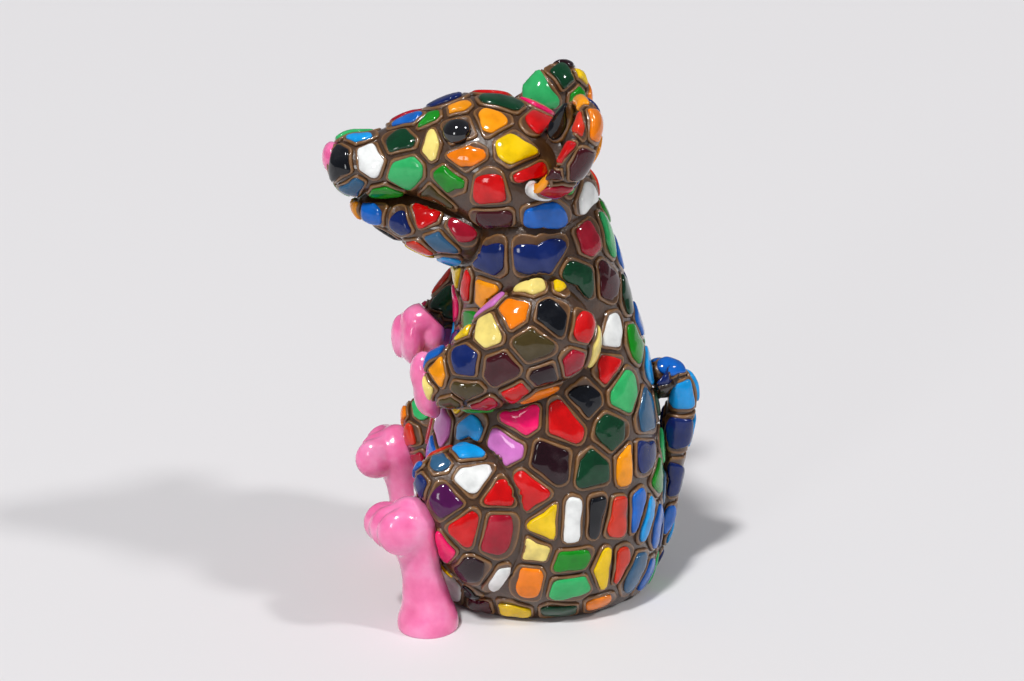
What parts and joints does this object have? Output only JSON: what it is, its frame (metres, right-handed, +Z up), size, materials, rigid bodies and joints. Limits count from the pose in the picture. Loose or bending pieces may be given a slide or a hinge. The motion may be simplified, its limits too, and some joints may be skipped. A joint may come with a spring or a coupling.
{
  "type": "mosaic mouse figurine",
  "caption": "Seated mouse figurine, cast body with raised grout and domed glossy mosaic tiles, painted pink hands, feet and nose.",
  "frame": {"origin": "middle of the footprint of the whole figure, on the surface it stands on", "axes": "+Z up, the body faces -Y, +X is the mouse's left side"},
  "size_m": [0.041, 0.0592, 0.0849],
  "materials": {
    "cast_brown": "varnished brown grout with brush marks",
    "paint_pink": "thick gloss paint",
    "bead_jet": "black mirror-gloss drop",
    "tile_navy": "domed gloss enamel",
    "tile_crimson": "domed gloss enamel",
    "tile_maroon": "domed gloss enamel",
    "tile_red": "domed gloss enamel",
    "tile_white": "domed gloss enamel",
    "tile_green": "domed gloss enamel",
    "tile_leaf": "domed gloss enamel",
    "tile_black": "domed gloss enamel",
    "tile_rose": "domed gloss enamel",
    "tile_forest": "domed gloss enamel",
    "tile_amber": "domed gloss enamel",
    "tile_plum": "domed gloss enamel",
    "tile_mauve": "domed gloss enamel",
    "tile_yellow": "domed gloss enamel",
    "tile_coral": "domed gloss enamel",
    "tile_cream": "domed gloss enamel",
    "tile_orange": "domed gloss enamel",
    "tile_blue": "domed gloss enamel",
    "tile_olive": "domed gloss enamel"
  },
  "bodies": {
    "root": {"torso": "cast_brown", "head": "cast_brown", "lower_jaw": "cast_brown", "nose": "paint_pink", "left_eye": "bead_jet", "left_ear": "cast_brown", "left_arm": "cast_brown", "left_hand": "paint_pink", "left_leg": "cast_brown", "left_foot": "paint_pink", "right_eye": "bead_jet", "right_ear": "cast_brown", "right_arm": "cast_brown", "right_hand": "paint_pink", "right_leg": "cast_brown", "right_foot": "paint_pink", "tail": "cast_brown", "torso_tile_01_navy": "tile_navy", "torso_tile_02_navy": "tile_navy", "torso_tile_03_crimson": "tile_crimson", "torso_tile_04_maroon": "tile_maroon", "torso_tile_05_red": "tile_red", "torso_tile_06_white": "tile_white", "torso_tile_07_green": "tile_green", "torso_tile_08_red": "tile_red", "torso_tile_09_leaf": "tile_leaf", "torso_tile_10_black": "tile_black", "torso_tile_11_rose": "tile_rose", "torso_tile_12_red": "tile_red", "torso_tile_13_forest": "tile_forest", "torso_tile_14_forest": "tile_forest", "torso_tile_15_amber": "tile_amber", "torso_tile_16_plum": "tile_plum", "torso_tile_17_mauve": "tile_mauve", "torso_tile_18_red": "tile_red", "torso_tile_19_yellow": "tile_yellow", "torso_tile_20_white": "tile_white", "torso_tile_21_black": "tile_black", "torso_tile_22_coral": "tile_coral", "torso_tile_23_cream": "tile_cream", "torso_tile_24_green": "tile_green", "torso_tile_25_leaf": "tile_leaf", "torso_tile_26_yellow": "tile_yellow", "torso_tile_27_white": "tile_white", "torso_tile_28_orange": "tile_orange", "head_tile_01_white": "tile_white", "head_tile_02_forest": "tile_forest", "head_tile_03_leaf": "tile_leaf", "head_tile_04_orange": "tile_orange", "head_tile_05_yellow": "tile_yellow", "head_tile_06_red": "tile_red", "head_tile_07_maroon": "tile_maroon", "head_tile_08_blue": "tile_blue", "arm_tile_01_orange": "tile_orange", "arm_tile_02_cream": "tile_cream", "arm_tile_03_black": "tile_black", "arm_tile_04_olive": "tile_olive", "arm_tile_05_navy": "tile_navy", "arm_tile_06_maroon": "tile_maroon"}
  },
  "joints": []
}
